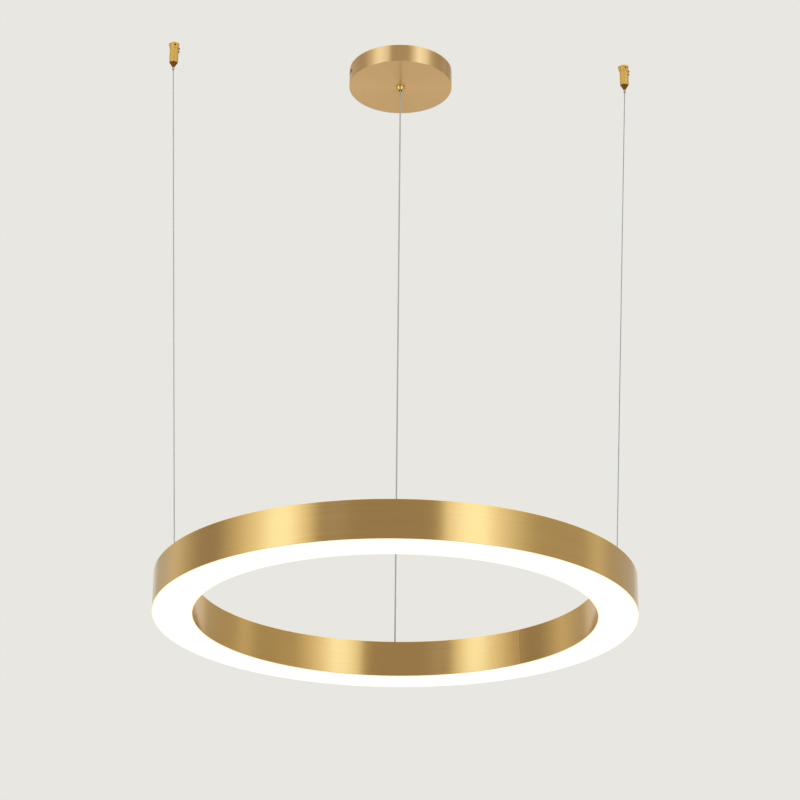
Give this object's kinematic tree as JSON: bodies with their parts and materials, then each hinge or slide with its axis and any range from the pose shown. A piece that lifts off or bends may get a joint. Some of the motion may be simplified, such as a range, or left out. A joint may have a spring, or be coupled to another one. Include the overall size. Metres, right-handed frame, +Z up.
{
  "type": "led ring chandelier",
  "caption": "Brushed brass light ring with an opal underside, hung level from a round canopy and ceiling grippers by thin cables.",
  "frame": {"origin": "centre of the canopy plate's face that lies against the ceiling", "axes": "+Z up into the ceiling; -Y is the front, so +X is to the right seen from the front; the ring's axis is 56 mm in front of the origin"},
  "size_m": [0.8443, 0.8, 1.08],
  "materials": {
    "brushed_brass": "satin brass brushed round the ring, clear lacquered",
    "polished_brass": "turned and polished brass",
    "brass_plain": "plain machined brass",
    "zinc_steel": "bright zinc",
    "bronze_plate": "satin paint matched to the brass",
    "aluminium": "mill finish",
    "strip_white": "white solder mask",
    "led_chip": "yellow phosphor",
    "opal": "opal acrylic, satin, lit from inside",
    "wire_rope": "bare stranded steel",
    "power_cable": "clear sleeve over tinned strands",
    "white_plastic": "moulded",
    "board_green": "solder mask",
    "black_rubber": "moulded"
  },
  "bodies": {
    "ceiling_set": {"canopy_plate": "zinc_steel", "plate_ears": "zinc_steel", "side_screws": "polished_brass", "driver_case": "white_plastic", "driver_lid": "white_plastic", "driver_board": "board_green", "terminal_block": "white_plastic", "earth_stud": "brass_plain", "mains_grommet": "black_rubber", "input_lead": "black_rubber", "output_lead": "power_cable", "cord_clamp": "white_plastic", "power_tail": "power_cable", "gripper_cap_left": "polished_brass", "gripper_body_left": "polished_brass", "gripper_spring_left": "zinc_steel", "gripper_screws_left": "polished_brass", "cable_tail_left": "wire_rope", "gripper_cap_right": "polished_brass", "gripper_body_right": "polished_brass", "gripper_spring_right": "zinc_steel", "gripper_screws_right": "polished_brass", "cable_tail_right": "wire_rope"},
    "canopy": {"canopy_cover": "brushed_brass", "canopy_gland": "polished_brass", "gland_nut": "brass_plain"},
    "release_left": {"gripper_plunger_left": "polished_brass", "gripper_balls_left": "zinc_steel"},
    "release_right": {"gripper_plunger_right": "polished_brass", "gripper_balls_right": "zinc_steel"},
    "ring": {"band_brackets": "zinc_steel", "cable_left": "wire_rope", "cable_rear": "power_cable", "cable_right": "wire_rope", "cable_stop_left": "zinc_steel", "cable_stop_rear": "zinc_steel", "cable_stop_right": "zinc_steel", "carrier_posts": "aluminium", "carrier_screws": "zinc_steel", "diffuser_clips": "zinc_steel", "inner_band": "brushed_brass", "inner_splice": "brass_plain", "led_carrier": "aluminium", "led_chips": "led_chip", "led_strips": "strip_white", "lock_nuts": "brass_plain", "outer_band": "brushed_brass", "outer_splice": "brass_plain", "plate_screws": "zinc_steel", "post_screws": "zinc_steel", "ring_connector": "white_plastic", "ring_lead": "power_cable", "socket_tubes": "brass_plain", "top_plate": "bronze_plate"},
    "level_left": {"thumb_nut_left": "polished_brass"},
    "level_right": {"thumb_nut_right": "polished_brass"},
    "level_rear": {"thumb_nut_rear": "polished_brass"},
    "diffuser": {"diffuser": "opal"}
  },
  "joints": [
    {"name": "ring_swing", "type": "hinge", "parent": "ceiling_set", "child": "ring", "pos_m": [0, -0.056, -0.053], "axis": [0.9971, 0.0767, 0], "range_deg": [-2, 2]},
    {"name": "canopy_twist", "type": "hinge", "parent": "ceiling_set", "child": "canopy", "pos_m": [0, 0, 0], "axis": [0, 0, 1], "range_deg": [0, 10]},
    {"name": "release_left", "type": "slide", "parent": "ceiling_set", "child": "release_left", "axis": [0, 0, 1], "range_m": [0, 0.0025], "stiffness_N_per_m": 400, "springref_m": -0.005, "deforming": ["gripper_spring_left"]},
    {"name": "release_right", "type": "slide", "parent": "ceiling_set", "child": "release_right", "axis": [0, 0, 1], "range_m": [0, 0.0025], "stiffness_N_per_m": 400, "springref_m": -0.005, "deforming": ["gripper_spring_right"]},
    {"name": "level_left", "type": "hinge", "parent": "ring", "child": "level_left", "pos_m": [-0.36238, -0.11404, -1.013], "axis": [0, 0, 1], "continuous": true},
    {"name": "level_right", "type": "hinge", "parent": "ring", "child": "level_right", "pos_m": [0.367, -0.05792, -1.013], "axis": [0, 0, 1], "continuous": true},
    {"name": "level_rear", "type": "hinge", "parent": "ring", "child": "level_rear", "pos_m": [0, 0.311, -1.013], "axis": [0, 0, 1], "continuous": true},
    {"name": "diffuser_drop", "type": "slide", "parent": "ring", "child": "diffuser", "axis": [0, 0, -1], "range_m": [0, 0.03]}
  ]
}
